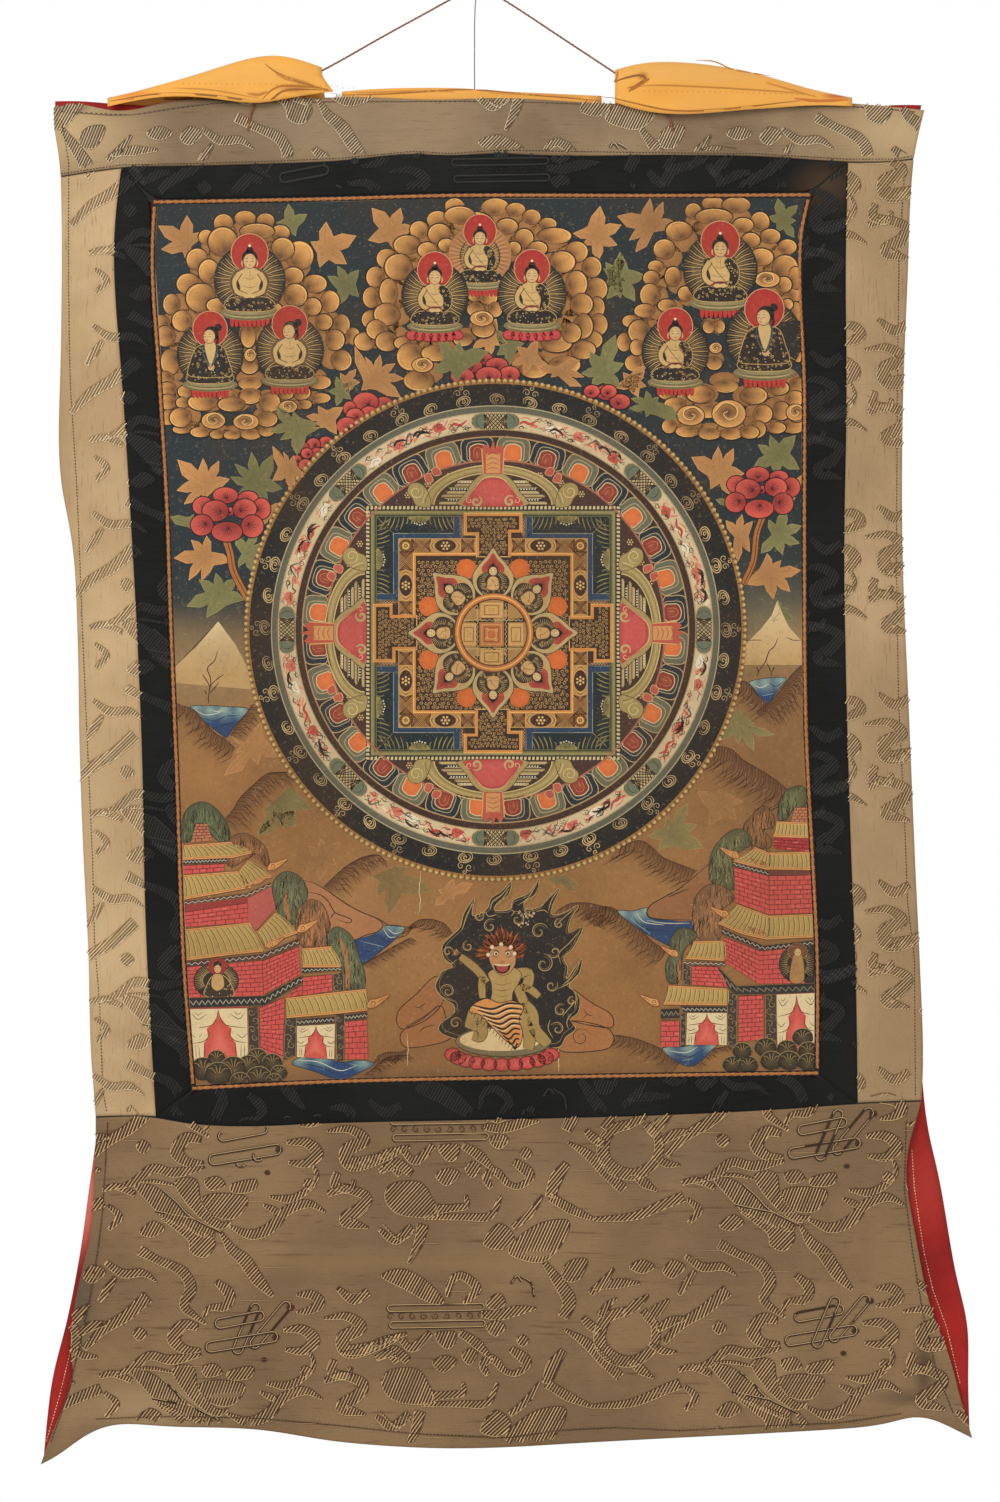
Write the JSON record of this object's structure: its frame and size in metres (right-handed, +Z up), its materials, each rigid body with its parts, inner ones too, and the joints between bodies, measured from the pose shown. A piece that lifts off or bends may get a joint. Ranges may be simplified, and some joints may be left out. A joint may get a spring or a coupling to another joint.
{
  "type": "thangka scroll painting",
  "caption": "Painted cotton hanging with a round mandala, framed in black satin and damask, with a red lining, a yellow silk cover and a cord to hang it by.",
  "frame": {"origin": "the hanging point: the top of the bend that the cord makes over its hook", "axes": "+Z up, +X to the right as the picture is seen, and the picture faces -Y"},
  "size_m": [0.5751, 0.025, 0.9177],
  "materials": {
    "damask": "head damask: taupe and cream silk brocade, worn",
    "damask_side": "side damask: the same cloth turned lengthwise, paler and slubbed",
    "damask_skirt": "skirt damask: brown-taupe silk with hatched cream motifs",
    "black_satin": "near-black satin with faint grey hatched motifs",
    "edging_cord": "twisted orange-tan edging cord",
    "painted_canvas": "cotton canvas painted in matt colours and gold line, aged",
    "red_lining": "plain red cotton, faded at the skirt's sides",
    "yellow_silk": "thin yellow silk, soft sheen, stained",
    "cord": "twisted brown cord",
    "thread": "grey-mauve thread"
  },
  "bodies": {
    "root": {"head_panel": "damask", "side_strip_left": "damask_side", "side_strip_right": "damask_side", "skirt_panel": "damask_skirt", "border_top": "black_satin", "border_bottom": "black_satin", "border_left": "black_satin", "border_right": "black_satin", "piping_top": "edging_cord", "piping_bottom": "edging_cord", "piping_left": "edging_cord", "piping_right": "edging_cord", "painting": "painted_canvas", "lining": "red_lining", "veil": "yellow_silk", "hanging_cord": "cord", "centre_thread": "thread", "cord_knot": "thread"}
  },
  "joints": []
}
